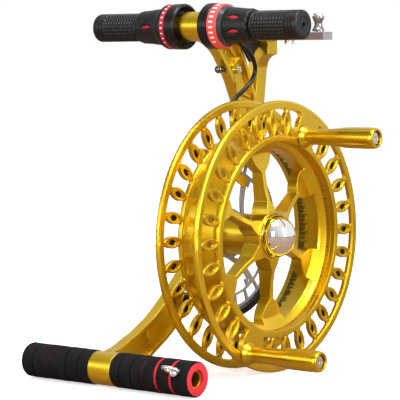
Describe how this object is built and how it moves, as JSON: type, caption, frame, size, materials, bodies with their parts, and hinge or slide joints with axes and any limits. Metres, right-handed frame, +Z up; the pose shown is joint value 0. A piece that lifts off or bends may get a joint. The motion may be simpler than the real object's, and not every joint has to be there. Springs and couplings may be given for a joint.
{
  "type": "kite line reel",
  "caption": "Large hand-wound line reel on a curved frame with handlebar, foam belly bar, twist-grip disc brake and roller line guide.",
  "frame": {"origin": "on the axis of the belly bar, half-way along its tube", "axes": "+X along the spindle towards the winding knobs, +Y away from the user, +Z up towards the handlebar"},
  "size_m": [0.333, 0.3724, 0.4073],
  "materials": {
    "gold_aluminium": "bright gold anodised, satin to semi-gloss",
    "steel": "stainless steel, lightly brushed",
    "chrome": "mirror-polished",
    "dark_chrome": "polished black-nickel",
    "black_plastic": "satin black",
    "grey_plastic": "dark grey, satin",
    "red_aluminium": "bright red anodised with pale scale marks",
    "black_rubber": "textured black rubber",
    "foam": "closed-cell foam, black with red rings",
    "brake_lining": "sintered brake lining, dull"
  },
  "bodies": {
    "frame": {"main_frame": "gold_aluminium", "spindle": "steel", "spindle_nuts": "steel", "spindle_washers": "steel", "handlebar_tube": "gold_aluminium", "right_housing": "black_plastic", "left_housing": "black_plastic", "right_grip": "black_rubber", "left_grip": "black_rubber", "belly_tube": "gold_aluminium", "left_foam": "foam", "right_foam": "foam", "strap_eye": "steel", "guide_rail": "steel", "roller_pins": "steel", "rail_nut": "steel", "rail_screws": "steel", "caliper_body": "gold_aluminium", "caliper_bolts": "steel", "fixed_brake_pad": "brake_lining", "cable_stop": "steel", "brake_cable": "black_plastic", "cable_exit": "black_rubber", "cable_holder": "black_plastic", "rotor_guard": "black_plastic", "pawl_pin": "steel", "frame_screw": "steel", "cross_bolt": "dark_chrome"},
    "spool": {"front_flange": "gold_aluminium", "rear_flange": "gold_aluminium", "line_drum": "gold_aluminium", "spoke_wheel": "gold_aluminium", "ratchet_ring": "gold_aluminium", "hub_cap": "chrome", "rear_bearing": "steel", "front_bearing": "steel", "brake_rotor": "steel", "rotor_bolts": "steel", "knob_pins": "steel", "knob_screws": "steel"},
    "upper_handle": {"upper_knob": "gold_aluminium"},
    "lower_handle": {"lower_knob": "gold_aluminium"},
    "right_twist": {"right_scale_ring": "red_aluminium", "right_twist_collar": "grey_plastic", "right_twist_sleeve": "black_rubber"},
    "left_twist": {"left_scale_ring": "red_aluminium", "left_twist_collar": "grey_plastic", "left_twist_sleeve": "black_rubber"},
    "brake_lever": {"caliper_lever": "steel", "cable_anchor": "steel"},
    "moving_pad": {"pressed_brake_pad": "brake_lining"},
    "pawl": {"pawl": "steel"},
    "inner_roller": {"inner_guide_roller": "steel"},
    "outer_roller": {"outer_guide_roller": "steel"}
  },
  "joints": [
    {"name": "spool_spin", "type": "hinge", "parent": "frame", "child": "spool", "pos_m": [0.055, 0.1891, 0.1313], "axis": [1, 0, 0], "continuous": true},
    {"name": "upper_knob_spin", "type": "hinge", "parent": "spool", "child": "upper_handle", "pos_m": [0.132, 0.23312, 0.24024], "axis": [1, 0, 0], "continuous": true},
    {"name": "lower_knob_spin", "type": "hinge", "parent": "spool", "child": "lower_handle", "pos_m": [0.132, 0.12775, 0.00825], "axis": [1, 0, 0], "continuous": true},
    {"name": "brake_twist", "type": "hinge", "parent": "frame", "child": "right_twist", "pos_m": [0.045, 0.1605, 0.3631], "axis": [1, 0, 0], "range_deg": [0, 84]},
    {"name": "pawl_twist", "type": "hinge", "parent": "frame", "child": "left_twist", "pos_m": [-0.064, 0.1605, 0.3631], "axis": [1, 0, 0], "range_deg": [0, 60]},
    {"name": "brake_lever_turn", "type": "hinge", "parent": "frame", "child": "brake_lever", "pos_m": [0.0224, 0.1831, 0.2133], "axis": [1, 0, 0], "range_deg": [0, 14]},
    {"name": "pad_press", "type": "slide", "parent": "frame", "child": "moving_pad", "axis": [-1, 0, 0], "range_m": [0, 0.0008]},
    {"name": "pawl_turn", "type": "hinge", "parent": "frame", "child": "pawl", "pos_m": [0.047, 0.1171, 0.0713], "axis": [1, 0, 0], "range_deg": [-7, 0]},
    {"name": "inner_roller_spin", "type": "hinge", "parent": "frame", "child": "inner_roller", "pos_m": [0.035, 0.2721, 0.3663], "axis": [0, 0, 1], "continuous": true},
    {"name": "outer_roller_spin", "type": "hinge", "parent": "frame", "child": "outer_roller", "pos_m": [0.075, 0.2721, 0.3663], "axis": [0, 0, 1], "continuous": true}
  ],
  "couplings": [
    {"joint": "brake_lever_turn", "follows": "brake_twist", "ratio": 0.16667},
    {"joint": "pad_press", "follows": "brake_twist", "m_per_rad": 0.0005456},
    {"joint": "pawl_turn", "follows": "pawl_twist", "ratio": -0.11667}
  ]
}
